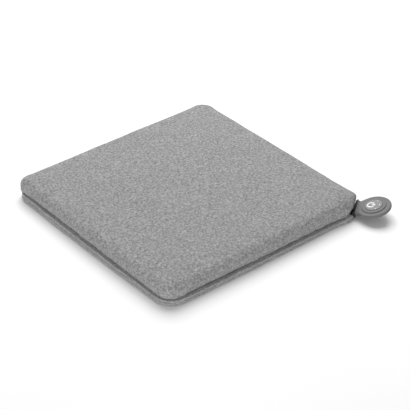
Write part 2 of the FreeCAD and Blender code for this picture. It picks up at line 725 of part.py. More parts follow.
def port_block(margin, near, far):
    """A block round the charging socket's body."""
    return box(
        (HEAD_ALONG - PORT_WIDTH / 2 - margin, near, PORT_LOW - margin),
        (HEAD_ALONG + PORT_WIDTH / 2 + margin, far, PORT_LOW + PORT_HEIGHT + margin))


def port_oval(grow, near, far):
    """The rounded oval section of the charging socket, along the across axis."""
    half_w = PORT_WIDTH / 2 + grow
    half_h = PORT_HEIGHT / 2 + grow
    centre_z = PORT_LOW + PORT_HEIGHT / 2
    return rounded_box(
        (HEAD_ALONG - half_w, near, centre_z - half_h), (HEAD_ALONG + half_w, far, centre_z + half_h),
        half_h - 0.05, Vector(0, 1, 0))


def tab_screw(x, y):
    """A small pan-head screw, its head sunk in the tab's underside."""
    head = Part.makeCylinder(TAB_SCREW_HEAD, 1.1, Vector(x, y, TAB_SCREW_LOW))
    shank = Part.makeCylinder(TAB_SCREW_SHANK, 3.6, Vector(x, y, TAB_SCREW_LOW + 0.95))
    return head.fuse(shank).removeSplitter()


SCREW_SPOTS = [
    (HEAD_ALONG + SCREW_RING * math.cos(math.radians(a)), SCREW_RING * math.sin(math.radians(a)))
    for a in (45, 135, 225, 315)
]


def tab_upper_shell():
    """Upper half of the tab with the stepped boss and the button's opening."""
    plate = tab_plate(0, TAB_HALF)
    plate = plate.makeFillet(RIM_ROUND, rim_edges(plate, TAB_HALF))
    boss = disc(BOSS_RADIUS, 0, TAB_HALF + BOSS_RISE)
    boss = boss.makeFillet(0.9, edges_at(boss, TAB_HALF + BOSS_RISE))
    shell = plate.multiFuse([boss, bead_half(True)]).removeSplitter()
    cutters = [
        disc(CAVITY_RADIUS, -1, LIP_UNDER),
        disc(BUTTON_RADIUS + BUTTON_GAP, -1, BUTTON_TOP + 1),
        cable_channel(),
        port_oval(0.05, CAVITY_RADIUS - 2, HEAD_RADIUS + 2),
    ]
    for cutter in cutters:
        shell = shell.cut(cutter)
    for x, y in SCREW_SPOTS:
        shell = shell.cut(tab_screw(x, y))
    return placed(shell, TAB_FRAME)


def tab_lower_shell():
    """Lower half of the tab, with the board's recess and four screw holes."""
    plate = tab_plate(-TAB_HALF, 0)
    plate = plate.makeFillet(RIM_ROUND, rim_edges(plate, -TAB_HALF))
    shell = plate.fuse(bead_half(False)).removeSplitter()
    cutters = [
        disc(CAVITY_RADIUS, SHELL_FLOOR, 1),
        cable_channel(),
        port_oval(0.05, CAVITY_RADIUS - 2, HEAD_RADIUS + 2),
    ]
    for cutter in cutters:
        shell = shell.cut(cutter)
    for x, y in SCREW_SPOTS:
        well = Part.makeCylinder(TAB_SCREW_HEAD, 2, Vector(x, y, -TAB_HALF - 1.5))
        shell = shell.cut(tab_screw(x, y)).cut(well)
    return placed(shell, TAB_FRAME)


def tab_screws():
    """The four screws that close the tab, each with a cross recess."""
    screws = []
    bottom = TAB_SCREW_LOW
    for x, y in SCREW_SPOTS:
        screw = tab_screw(x, y)
        for half_x, half_y in ((1.0, 0.22), (0.22, 1.0)):
            slot = box((x - half_x, y - half_y, bottom - 0.1), (x + half_x, y + half_y, bottom + 0.6))
            screw = screw.cut(slot)
        screws.append(placed(screw, TAB_FRAME))
    return screws


def control_board():
    """Round circuit board with a notch for the charging socket."""
    board = disc(BOARD_RADIUS, SHELL_FLOOR, SHELL_FLOOR + BOARD_THICK)
    notch = port_block(0.2, PORT_MOUTH - PORT_DEPTH - 6.2, HEAD_RADIUS)
    return placed(board.cut(notch), TAB_FRAME)


BOARD_TOP = SHELL_FLOOR + BOARD_THICK


def power_switch():
    """Short-travel push switch under the button's post."""
    base = rounded_box((HEAD_ALONG - 2.3, -2.3, BOARD_TOP), (HEAD_ALONG + 2.3, 2.3, BOARD_TOP + 1.2), 0.4)
    stem = disc(1.3, BOARD_TOP + 1.0, FLANGE_TOP - FLANGE_THICK - BUTTON_TRAVEL - 0.15)
    return placed(base.fuse(stem).removeSplitter(), TAB_FRAME)


LEVEL_SPOTS = [(HEAD_ALONG + 4.8, -10.6), (HEAD_ALONG + 9.8, 0.0), (HEAD_ALONG + 4.8, 10.6)]
LED_SPOTS = [*LEVEL_SPOTS, (HEAD_ALONG - ICON_BACK - 5.0, 3.4), (HEAD_ALONG - ICON_BACK - 5.0, -3.4)]


def board_leds():
    """Light-emitting diodes for the level windows and the power symbol."""
    leds = []
    for x, y in LED_SPOTS:
        led = box((x - 0.8, y - 0.5, BOARD_TOP), (x + 0.8, y + 0.5, BOARD_TOP + 0.7))
        leds.append(placed(led, TAB_FRAME))
    return leds


def board_chips():
    """Controller and regulator on the control board."""
    sizes = ((-2.0, -9.0, 2.5, 2.5, 0.8), (9.0, -7.5, 1.6, 1.0, 0.6), (-9.5, 9.5, 2.0, 1.4, 0.9))
    chips = []
    for x, y, half_x, half_y, rise in sizes:
        low = (HEAD_ALONG + x - half_x, y - half_y, BOARD_TOP)
        high = (HEAD_ALONG + x + half_x, y + half_y, BOARD_TOP + rise)
        chips.append(placed(box(low, high), TAB_FRAME))
    return chips


def charging_socket():
    """Steel shell of the charging socket, open outwards, with a closed back."""
    shell = port_oval(0, PORT_MOUTH - PORT_DEPTH, PORT_MOUTH)
    room = port_oval(-0.3, PORT_MOUTH - PORT_DEPTH + 0.6, PORT_MOUTH + 1)
    return placed(shell.cut(room), TAB_FRAME)


def socket_tongue():
    """Insulating contact tongue in the middle of the socket."""
    near = PORT_MOUTH - PORT_DEPTH + 0.6
    centre_z = PORT_LOW + PORT_HEIGHT / 2
    tongue = rounded_box(
        (HEAD_ALONG - 3.3, near, centre_z - 0.35), (HEAD_ALONG + 3.3, near + 5.4, centre_z + 0.35), 0.5)
    return placed(tongue, TAB_FRAME)


def tab_cable():
    """Round cable through the neck, from the bead to the control board."""
    start = -BEAD_RADIUS + 0.4
    end = HEAD_ALONG - CAVITY_RADIUS + 0.4
    core = Part.makeCylinder(CABLE_RADIUS, end - start, Vector(start, 0, 0), Vector(1, 0, 0))
    return placed(core, TAB_FRAME)


# ---- The button ------------------------------------------------------------------------------
CAP_WALL = 1.2
SYMBOL_CENTRE = Vector(HEAD_ALONG - ICON_BACK, 0, 0)
SYMBOL_GAP = 34.0         # half angle of the gap in the power symbol's ring
SYMBOL_PROUD = 0.05
WINDOW_RADIUS = 1.15


def power_symbol(bottom, top):
    """Stand-by symbol: an open ring with a bar through its gap."""
    ring = disc(ICON_RADIUS, bottom, top, SYMBOL_CENTRE)
    ring = ring.cut(disc(ICON_RADIUS - ICON_STROKE, bottom - 1, top + 1, SYMBOL_CENTRE))
    reach = 2 * ICON_RADIUS
    rise = reach * math.tan(math.radians(SYMBOL_GAP))
    points = [(0, 0), (reach, rise), (reach, -rise), (0, 0)]
    wedge = Part.makePolygon([Vector(SYMBOL_CENTRE.x + x, y, bottom - 1) for x, y in points])
    ring = ring.cut(Part.Face(wedge).extrude(Vector(0, 0, top - bottom + 2)))
    bar_low = (SYMBOL_CENTRE.x + 0.8, -ICON_STROKE / 2, bottom)
    bar_high = (SYMBOL_CENTRE.x + ICON_RADIUS + 0.3, ICON_STROKE / 2, top)
    return [ring, rounded_box(bar_low, bar_high, 0.8)]


def button_cap():
    """Round press cap with a retaining flange, a centre post and slots for its clear inserts."""
    flange_bottom = FLANGE_TOP - FLANGE_THICK
    body = disc(BUTTON_RADIUS, flange_bottom, BUTTON_TOP)
    body = body.makeFillet(0.7, edges_at(body, BUTTON_TOP))
    cap = body.fuse(disc(FLANGE_RADIUS, flange_bottom, FLANGE_TOP)).removeSplitter()
    room = disc(BUTTON_RADIUS - 1.4, flange_bottom - 1, BUTTON_TOP - CAP_WALL)
    cap = cap.cut(room.cut(disc(POST_RADIUS, flange_bottom - 2, BUTTON_TOP)))
    for piece in power_symbol(BUTTON_TOP - CAP_WALL - 1, BUTTON_TOP + 1):
        cap = cap.cut(piece)
    for x, y in LEVEL_SPOTS:
        cap = cap.cut(disc(WINDOW_RADIUS, BUTTON_TOP - 2 * CAP_WALL, BUTTON_TOP + 1, Vector(x, y, 0)))
    return placed(cap, TAB_FRAME)


def power_symbol_guide():
    """Clear inserts that make the power symbol."""
    inserts = power_symbol(BUTTON_TOP - CAP_WALL, BUTTON_TOP + SYMBOL_PROUD)
    post = disc(POST_RADIUS, 0, BUTTON_TOP - CAP_WALL + 0.01)
    return [placed(piece.cut(post), TAB_FRAME) for piece in inserts]


def level_windows():
    """Three round clear windows for the heat level lights."""
    windows = []
    for x, y in LEVEL_SPOTS:
        pin = disc(WINDOW_RADIUS, BUTTON_TOP - CAP_WALL, BUTTON_TOP + SYMBOL_PROUD, Vector(x, y, 0))
        windows.append(placed(pin, TAB_FRAME))
    return windows


def cushion_cable():
    """Round cable inside the cushion, from the collar to the battery case."""
    return lead(cable_route(), CABLE_RADIUS)


def battery_case_lower():
    """Lower tray of the battery case."""
    return case_half(CASE_BOTTOM, CASE_MID, True).cut(case_openings())


def battery_case_upper():
    """Upper lid of the battery case."""
    return case_half(CASE_MID, CASE_TOP, False).cut(case_openings())


def main():
    """Write every node."""
    os.makedirs(OUT, exist_ok=True)
    save("cover_top_panel", cover_top_panel())
    save("cover_base_panel", cover_base_panel())
    save("seam_welt", seam_welt())
    save("care_label", care_label())
    save("slot_collar", slot_collar())
    save("anchor_plate", anchor_plate())
    save("zip_tape", *zip_tape())
    save("zip_chain", *zip_chain())
    save("zip_stops", *zip_stops())
    save("zip_slider", zip_slider())
    save("zip_pull", zip_pull())
    save("foam_core", foam_core())
    save("foam_topper", foam_topper())
    save("heater_carrier", heater_carrier())
    save("heater_ribbon", heater_ribbon())
    save("heater_leads", *heater_leads())
    save("thermal_cutout", thermal_cutout())
    save("temperature_sensor", temperature_sensor())
    save("sensor_lead", sensor_lead())
    save("battery_case_lower", battery_case_lower())
    save("battery_case_upper", battery_case_upper())
    save("battery_screws", *battery_screws())
    save("battery_cells", *battery_cells())
    save("cell_strips", *cell_strips())
    save("battery_board", battery_board())
    save("battery_board_parts", *battery_board_parts())
    save("cushion_cable", cushion_cable())
    save("tab_upper_shell", tab_upper_shell())
    save("tab_lower_shell", tab_lower_shell())
    save("tab_screws", *tab_screws())
    save("control_board", control_board())
    save("power_switch", power_switch())
    save("board_leds", *board_leds())
    save("board_chips", *board_chips())
    save("charging_socket", charging_socket())
    save("socket_tongue", socket_tongue())
    save("tab_cable", tab_cable())
    save("button_cap", button_cap())
    save("power_symbol", *power_symbol_guide())
    save("level_windows", *level_windows())


main()
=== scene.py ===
import json
import math

import bmesh
import bpy
import numpy as np
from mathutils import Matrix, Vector, noise
from mathutils.kdtree import KDTree


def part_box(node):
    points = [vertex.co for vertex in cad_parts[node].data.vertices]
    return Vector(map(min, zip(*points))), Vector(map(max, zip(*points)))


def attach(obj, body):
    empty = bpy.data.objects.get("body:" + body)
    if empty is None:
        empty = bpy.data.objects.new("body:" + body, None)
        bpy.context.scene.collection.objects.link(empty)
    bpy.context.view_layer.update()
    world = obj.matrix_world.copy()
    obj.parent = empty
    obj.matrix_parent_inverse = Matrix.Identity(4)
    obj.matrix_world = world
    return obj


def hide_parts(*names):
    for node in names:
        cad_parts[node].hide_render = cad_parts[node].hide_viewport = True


# A heated seat cushion: a soft felt pad with a welt, a zip at the back and a control tab at one corner.
# Metres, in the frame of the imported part: the origin is the centre of the underside and +Z is up.

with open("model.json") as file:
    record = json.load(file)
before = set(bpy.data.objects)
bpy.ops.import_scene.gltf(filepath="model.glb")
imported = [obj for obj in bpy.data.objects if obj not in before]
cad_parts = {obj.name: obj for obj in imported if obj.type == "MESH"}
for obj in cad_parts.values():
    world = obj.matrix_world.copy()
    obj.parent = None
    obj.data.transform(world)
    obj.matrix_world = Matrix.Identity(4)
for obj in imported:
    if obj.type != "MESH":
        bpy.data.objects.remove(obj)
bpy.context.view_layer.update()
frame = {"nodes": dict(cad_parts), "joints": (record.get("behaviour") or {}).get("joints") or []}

MM = 0.001

# ---- Places and sizes taken from the frame ---------------------------------------------------
joints = {joint["name"]: joint for joint in frame["joints"]}
HINGE = Vector(joints["tab_flex"]["pos_m"])
ACROSS = -Vector(joints["tab_flex"]["axis"])          # along the collar
OUTWARD = Vector((ACROSS.y, -ACROSS.x, 0)).normalized()  # the way the tab points
TURN = math.atan2(OUTWARD.y, OUTWARD.x) + math.pi / 4  # of the tab from the pad's diagonal

COVER_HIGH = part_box("cover_top_panel")[1]
WELT_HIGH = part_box("seam_welt")[1]
BASE_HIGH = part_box("cover_base_panel")[1]
TAPE_LOW, TAPE_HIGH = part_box("zip_tape")
CHAIN_LOW, CHAIN_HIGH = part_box("zip_chain")
LABEL_LOW, LABEL_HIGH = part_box("care_label")
COLLAR_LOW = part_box("slot_collar")[0]

BAND = WELT_HIGH.x             # half side over the welt
SEAM_Z = WELT_HIGH.z           # top of the welt
PAD_TOP = COVER_HIGH.z
HINGE_OUT = HINGE.dot(OUTWARD)
HINGE_ACROSS = HINGE.dot(ACROSS)
COLLAR_RADIUS = HINGE.z - COLLAR_LOW.z

# ---- Sizes of the soft goods -----------------------------------------------------------------
BULGE = 1.8 * MM               # the felt wall swells this far over its line
WALL = COVER_HIGH.x + BULGE    # half side of the felt wall
CROWN = 1.4 * MM               # the top's middle stands this far above its edge
ROLL_WIDE = 13 * MM            # the rolled top edge, in from the wall
ROLL_DEEP = 13 * MM            # and down from the top
TOP_CORNER = 24 * MM           # plan radius of the corners where the roll starts
WALL_CORNER = 27 * MM
CREASE_CORNER = 16 * MM        # the corners are pinched where the wall meets the welt
CREASE_TUCK = 7.0 * MM         # the wall draws in this far at the crease
TUCK_REACH = 0.97              # how much of the tuck's curve is used; at 1 it would end level
TUCK_POWER = 2.6               # the higher, the nearer the crease the wall starts to turn in
TUCK_SCALE = 0.75              # brings the curve's end to about the whole tuck
CREASE_Z = SEAM_Z + 1.0 * MM
BAND_CORNER = 33.5 * MM
SHARP = 0.6                    # the (-X, +Y) corner's radius, as a share of the others
BAND_SHARP = 0.75              # and the band's there
LESS_TUCK = 0.45               # share of the tuck that is left out at that corner
LESS_TUCK_FROM = 0.86          # where that starts and where it is full, 1 being the corner itself
LESS_TUCK_TO = 0.99
SEAM_SLOPE = 2.4 * MM          # the seam stands higher at that corner by this much
BOW = 2.0 * MM                 # the two near sides swell outwards at their middles
HIDDEN_Z = 3.0 * MM            # the cover closes inside the welt at this height

COLLAR_HALF = max(abs(v.co.dot(ACROSS) - HINGE_ACROSS) for v in frame["nodes"]["slot_collar"].data.vertices)
FLARES = (4.0 * MM, 7.0 * MM)  # how far the -Y and +X sides open out to meet the collar's ends
FLARE_FROM = 128 * MM          # along each side, where they start to open out
FLARE_TO = 181 * MM
COVER_BEHIND = 3.0 * MM        # the felt ends this far behind the hinge line, on top of the collar
BAND_BEHIND = 0.8 * MM

ZIP_ROOM = TAPE_HIGH.x         # half length of the zip's opening in the back edge

GRID = 116                     # cells from the middle of the top to its edge
CAGE_GRID = 32                 # the same for the coarse shape that is simulated
STITCH_PITCH = 4.8 * MM


def smooth(value, low, high):
    """0 below low, 1 above high and an S curve between them. Works backwards when low is above high."""
    t = np.clip((value - low) / (high - low), 0, 1)
    return t * t * (3 - 2 * t)


def soft_min(a, b, blend):
    """The lesser of two numbers, rounded off where they cross."""
    h = np.clip(0.5 + 0.5 * (b - a) / blend, 0, 1)
    return b * (1 - h) + a * h - blend * h * (1 - h)


def wander(values, scale, seed, octaves=2):
    """Smooth noise, about -1 to 1, at points given as an array of coordinates in metres."""
    shift = Vector((seed * 7.3, seed * 3.1, seed * 5.7))
    return np.array([noise.fractal(Vector(v) / scale + shift, 1.0, 2.0, octaves) for v in values])


# ---- Plan outlines ---------------------------------------------------------------------------
def rounded(x, y, half, corner):
    """Moves points on a square of a given half side onto the same square with round corners."""
    corner = corner * np.where((x < 0) & (y > 0), SHARP, 1)
    inner = half - corner
    out_x = abs(x) - inner
    out_y = abs(y) - inner
    turned = (out_x > 1e-9) & (out_y > 1e-9)
    reach = np.where(turned, np.hypot(out_x, out_y), 1)
    round_x = np.sign(x) * (inner + out_x / reach * corner)
    round_y = np.sign(y) * (inner + out_y / reach * corner)
    return np.where(turned, round_x, x), np.where(turned, round_y, y)


def bowed(x, y):
    """Swells the two near sides outwards at their middles."""
    push_x = BOW * (1 - (y / BAND) ** 2) * smooth(-x, BAND / 2, BAND)
    push_y = BOW * (1 - (x / BAND) ** 2) * smooth(-y, BAND / 2, BAND)
    return x - np.maximum(push_x, 0), y - np.maximum(push_y, 0)


def opened(x, y, half, corner, behind, share):
    """Opens an outline round the collar: its sides flare, and its corner is cut straight behind the hinge line."""
    bearing = np.arctan2(x + y, x - y)
    near = abs(bearing) < math.radians(44)
    bearing = np.where(near, bearing, 0)
    angle = abs(bearing)
    slant = (np.cos(angle) + np.sin(angle)) / math.sqrt(2)
    lean = (np.cos(angle) - np.sin(angle)) / math.sqrt(2)
    side = half / slant
    middle = (half - corner) * math.sqrt(2)
    arc = middle * np.cos(angle) + np.sqrt(np.maximum(corner**2 - (middle * np.sin(angle)) ** 2, 0))
    plain = np.where(side * lean > half - corner, arc, side)
    flare = np.where(bearing < 0, FLARES[0], FLARES[1])
    flared = side
    for _ in range(12):
        flared = (half + flare * smooth(flared * lean, FLARE_FROM, FLARE_TO)) / slant
    cut = (HINGE_OUT - behind) / np.cos(bearing - TURN)
    wanted = soft_min(flared, cut, 7 * MM)
    wanted = np.where(flared * lean > FLARE_FROM, wanted, flared)
    stretch = np.where(near, 1 + (wanted / plain - 1) * share, 1)
    return x * stretch, y * stretch


def at_collar(x, y, inside, outside):
    """1 at the collar, falling to 0 between two distances from its middle."""
    across = x * ACROSS.x + y * ACROSS.y - HINGE_ACROSS
    return np.where(x - y > BAND, 1 - smooth(abs(across), inside, outside), 0)


def seam_rise(x, y):
    """How much higher the seam runs at a plan point than at the near and far corners."""
    return SEAM_SLOPE * (y - x) / (2 * BAND)


def at_zip(x, y):
    """1 along the zip's opening in the back edge, else 0, with short slopes at its ends."""
    return np.where(y > WALL / 2, 1 - smooth(abs(x), ZIP_ROOM - 5 * MM, ZIP_ROOM + 2 * MM), 0)


def square_loop(cells):
    """The border points of a square grid, anticlockwise, in cells from its middle."""
    side = np.arange(-cells, cells)
    full = np.full(2 * cells, cells)
    x = np.concatenate([side, full, -side, -full])
    y = np.concatenate([-full, side, full, -side])
    return x, y


def even_loop(count, half, corner, inset):
    """Points evenly spaced round a square with round corners, set inwards, and how far along the loop they are."""
    radii = corner * np.array([1, 1, BAND_SHARP, 1])
    before = np.roll(radii, 1)
    runs = 2 * half - radii - before
    starts = np.concatenate([[0], np.cumsum(runs + radii * math.pi / 2)])
    s = np.arange(count) * starts[-1] / count
    turn = np.searchsorted(starts, s, side="right") - 1
    along = s - starts[turn]
    radius, run = radii[turn], runs[turn]
    angle = np.clip(along - run, 0, None) / radius
    reach = radius - inset
    x = np.where(along < run, before[turn] - half + along, half - radius + reach * np.sin(angle))
    y = np.where(along < run, inset - half, radius - half - reach * np.cos(angle))
    cos, sin = np.array([1, 0, -1, 0])[turn], np.array([0, 1, 0, -1])[turn]
    return s, x * cos - y * sin, x * sin + y * cos


# ---- Mesh helpers ----------------------------------------------------------------------------
def new_mesh(name, points, faces):
    """A mesh object from points and faces, smooth shaded, with its normals facing out."""
    mesh = bpy.data.meshes.new(name)
    mesh.from_pydata([tuple(p) for p in points], [], [tuple(f) for f in faces])
    mesh.update()
    edit = bmesh.new()
    edit.from_mesh(mesh)
    bmesh.ops.recalc_face_normals(edit, faces=edit.faces)
    edit.to_mesh(mesh)
    edit.free()
    mesh.polygons.foreach_set("use_smooth", [True] * len(mesh.polygons))
    obj = bpy.data.objects.new(name, mesh)
    bpy.context.scene.collection.objects.link(obj)
    return obj


def piece(name, points, faces, body, slot):
    """A new piece that rides on a body and takes one of the record's finishes."""
    obj = new_mesh(name, points, faces)
    obj.data.materials.append(finishes[slot])
    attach(obj, body)
    return obj


def ring_faces(rings, count, closed=False):
    """Quads that join rings of equal size, each to the next, and the last to the first if closed."""
    faces = []
    for row in range(rings if closed else rings - 1):
        start, after = row * count, (row + 1) % rings * count
        for i in range(count):
            j = (i + 1) % count
            faces.append((start + i, start + j, after + j, after + i))
    return faces


def tiled(template_points, template_faces, frames):
    """Copies of a small shape, one for each frame of an origin and three axes."""
    points, faces = [], []
    shape = np.array(template_points, float)
    for origin, x_axis, y_axis, z_axis in frames:
        base = len(points)
        axes = np.array([x_axis, y_axis, z_axis], float)
        points.extend(shape @ axes + np.array(origin, float))
        faces.extend(tuple(base + i for i in face) for face in template_faces)
    return points, faces


def bevelled_block(size, bevel, segments=2):
    """Points and faces of a block with rounded edges, centred on the origin."""
    edit = bmesh.new()
    bmesh.ops.create_cube(edit, size=1)
    for vertex in edit.verts:
        vertex.co = Vector(a * b for a, b in zip(vertex.co, size))
    bmesh.ops.bevel(edit, geom=edit.edges[:], offset=bevel, segments=segments, profile=0.5, affect="EDGES")
    edit.verts.index_update()
    points = [tuple(v.co) for v in edit.verts]
    faces = [tuple(v.index for v in f.verts) for f in edit.faces]
    edit.free()
    return points, faces


# ---- Finishes --------------------------------------------------------------------------------
def grey(level):
    """A neutral colour."""
    return (level, level, level, 1)


class Finish:
    """A procedural material, written as a chain of node calls."""

    def __init__(self, name, **shader):
        self.material = bpy.data.materials.new(name + "_finish")
        self.material.use_nodes = True
        self.tree = self.material.node_tree
        self.shader = self.tree.nodes["Principled BSDF"]
        self.place = self.tree.nodes.new("ShaderNodeTexCoord").outputs["Object"]
        for socket, value in shader.items():
            self.shader.inputs[socket.replace("_", " ")].default_value = value

    def node(self, kind, inputs, **settings):
        """A node with its settings made and its inputs set or linked."""
        made = self.tree.nodes.new("ShaderNode" + kind)
        for key, value in settings.items():
            setattr(made, key, value)
        for key, value in inputs.items():
            if isinstance(value, bpy.types.NodeSocket):
                self.tree.links.new(value, made.inputs[key])
            else:
                made.inputs[key].default_value = value
        return made

    def noise(self, size, detail=2.0, at=None, roughness=0.5, output="Fac"):
        """Cloudy noise whose lumps are about the given size."""
        inputs = {"Vector": at or self.place, "Scale": 1 / size, "Detail": detail, "Roughness": roughness}
        return self.node("TexNoise", inputs).outputs[output]

    def cells(self, size, at=None, feature="F1", output="Distance"):
        """Random cells of the given size."""
        inputs = {"Vector": at or self.place, "Scale": 1 / size}
        return self.node("TexVoronoi", inputs, feature=feature).outputs[output]

    def wave(self, size, direction, at=None, distortion=0.0):
        """Parallel ribs, one every size."""
        inputs = {"Vector": at or self.place, "Scale": 0.314 / size, "Distortion": distortion, "Detail": 1.0}
        return self.node("TexWave", inputs, bands_direction=direction).outputs["Fac"]

    def math(self, operation, a, b=0.0):
        """One sum on two numbers."""
        return self.node("Math", {0: a, 1: b}, operation=operation).outputs[0]

    def stretched(self, scale, turn=(0, 0, 0)):
        """The texture's place, scaled along each axis."""
        return self.node("Mapping", {"Vector": self.place, "Scale": scale, "Rotation": turn}).outputs[0]

    def shifted(self, size, amount):
        """The texture's place, pushed about by noise."""
        push = self.noise(size, 1.0, output="Color")
        centred = self.node("VectorMath", {0: push, 1: (0.5, 0.5, 0.5)}, operation="SUBTRACT").outputs[0]
        scaled = self.node("VectorMath", {0: centred, "Scale": amount}, operation="SCALE").outputs[0]
        return self.node("VectorMath", {0: self.place, 1: scaled}, operation="ADD").outputs[0]

    def ramp(self, value, stops):
        """A colour for each value, through the given stops."""
        made = self.node("ValToRGB", {"Fac": value})
        band = made.color_ramp
        while len(band.elements) < len(stops):
            band.elements.new(0.5)
        for element, (place, colour) in zip(band.elements, stops):
            element.position = place
            element.color = colour
        return made.outputs["Color"]

    def mix(self, share, a, b, blend="MIX"):
        """Two colours mixed."""
        made = self.node("Mix", {0: share, 6: a, 7: b}, data_type="RGBA", blend_type=blend)
        return made.outputs[2]

    def spread(self, value, low, high):
        """A value from 0 to 1 as a number from low to high."""
        return self.node("MapRange", {"Value": value, "To Min": low, "To Max": high}).outputs[0]

    def bump(self, height, depth, under=None):
        """A normal from a height, for a relief of the given depth."""
        inputs = {"Height": height, "Distance": depth, "Strength": 1.0}
        if under:
            inputs["Normal"] = under
        return self.node("Bump", inputs).outputs[0]

    def done(self, colour, roughness, normal):
        """Links the three parts of the finish and gives the material."""
        for socket, value in (("Base Color", colour), ("Roughness", roughness), ("Normal", normal)):
            self.tree.links.new(value, self.shader.inputs[socket])
        return self.material


def felt(name, dark, light, lump=3.4 * MM):
    """Bouclé felt: curly light loops over a darker ground, with single fibres between them."""
    f = Finish(name, Sheen_Weight=0.12, Sheen_Roughness=0.55, Specular_IOR_Level=0.15)
    curled = f.shifted(2.2 * lump, 1.1 * lump)
    loops = f.noise(lump, 1.5, at=curled, roughness=0.6)
    curls = f.cells(0.8 * lump, at=curled, feature="SMOOTH_F1")
    fibres = f.noise(0.55 * MM, 3.0, at=f.shifted(3 * MM, 2 * MM), roughness=0.7)
    pile = f.math("ADD", f.math("MULTIPLY", loops, 0.9), f.math("MULTIPLY", curls, 0.45))
    pile = f.math("ADD", pile, f.math("MULTIPLY", fibres, 0.35))
    tone = f.ramp(pile, [(0.55, grey(dark)), (0.80, grey((dark + light) / 2)), (1.05, grey(light))])
    cloud = f.noise(38 * MM, 3.0)
    tone = f.mix(f.spread(cloud, 0.0, 0.16), tone, grey(dark))
    rough = f.spread(fibres, 0.86, 0.98)
    normal = f.bump(pile, 1.1 * MM)
    return f.done(tone, rough, normal)


def weave(name, dark, light, thread=0.9 * MM, directions=("X", "Y"), shine=0.75):
    """Plain woven cloth: two sets of threads that pass over and under each other."""
    f = Finish(name, Sheen_Weight=0.1, Specular_IOR_Level=0.3)
    warp = f.wave(2 * thread, directions[0], distortion=0.4)
    weft = f.wave(2 * thread, directions[1], distortion=0.4)
    cross = f.math("ABSOLUTE", f.math("SUBTRACT", warp, weft))
    fuzz = f.noise(0.4 * MM, 3.0)
    height = f.math("ADD", cross, f.math("MULTIPLY", fuzz, 0.3))
    tone = f.ramp(height, [(0.1, dark), (0.9, light)])
    tone = f.mix(f.spread(f.noise(15 * MM, 2.0), 0.0, 0.2), tone, dark)
    return f.done(tone, f.spread(fuzz, shine - 0.1, shine + 0.1), f.bump(height, 0.35 * thread))


def moulded(name, dark, light, rough=0.5, grain=0.5 * MM, depth=0.03 * MM, **shader):
    """Moulded plastic or rubber: a fine spark-eroded grain, faint clouding and rubbed patches."""
    f = Finish(name, **shader)
    cloud = f.noise(14 * MM, 3.0)
    speck = f.noise(grain, 2.0)
    tone = f.ramp(f.math("ADD", f.math("MULTIPLY", cloud, 0.7), f.math("MULTIPLY", speck, 0.3)),
                  [(0.3, dark), (0.7, light)])
    return f.done(tone, f.spread(cloud, rough - 0.08, rough + 0.08), f.bump(speck, depth))


def metal(name, dark, light, rough=0.3, along=(1, 12, 12), **shader):
    """Brushed metal: streaks along one axis, with duller spots."""
    f = Finish(name, Metallic=1.0, **shader)
    streak = f.noise(1.6 * MM, 3.0, at=f.stretched(along))
    stain = f.noise(6 * MM, 2.0)
    tone = f.ramp(f.math("ADD", f.math("MULTIPLY", streak, 0.5), f.math("MULTIPLY", stain, 0.5)),
                  [(0.3, dark), (0.7, light)])
    return f.done(tone, f.spread(streak, rough - 0.1, rough + 0.12), f.bump(streak, 0.02 * MM))


def foam(name, dark, light, cell=1.3 * MM):
    """Open-cell foam, with painted shade in the hollows of its cells."""
    f = Finish(name, Specular_IOR_Level=0.2)
    pores = f.cells(cell, feature="DISTANCE_TO_EDGE")
    # painted shade: the hollows of the cells are coloured darker than the struts round them
    tone = f.ramp(pores, [(0.0, light), (0.35, dark)])
    return f.done(tone, f.spread(pores, 0.95, 0.8), f.bump(pores, -0.5 * cell))


def laminate(name):
    """Green circuit board with tracks and small pads."""
    f = Finish(name, Coat_Weight=0.3, Coat_Roughness=0.2)
    at = f.stretched((1, 1, 1), (0, 0, math.radians(45)))
    tracks = f.cells(3.2 * MM, at=at, feature="DISTANCE_TO_EDGE")
    tone = f.ramp(tracks, [(0.02, (0.05, 0.16, 0.07, 1)), (0.06, (0.015, 0.07, 0.03, 1))])
    fibre = f.noise(0.7 * MM, 2.0)
    return f.done(tone, f.spread(fibre, 0.3, 0.45), f.bump(tracks, 0.05 * MM))


def see_through(name, tone_a, tone_b, glow=0.0):
    """Clear moulded insert, milky inside, with a faint light behind it."""
    f = Finish(name, Coat_Weight=0.6, Coat_Roughness=0.08, Emission_Strength=glow)
    milk = f.noise(2.5 * MM, 2.0)
    tone = f.ramp(milk, [(0.3, tone_a), (0.7, tone_b)])
    f.tree.links.new(tone, f.shader.inputs["Emission Color"])
    return f.done(tone, f.spread(milk, 0.18, 0.3), f.bump(milk, 0.02 * MM))


def rgb(red, green, blue):
    """A colour."""
    return (red, green, blue, 1)


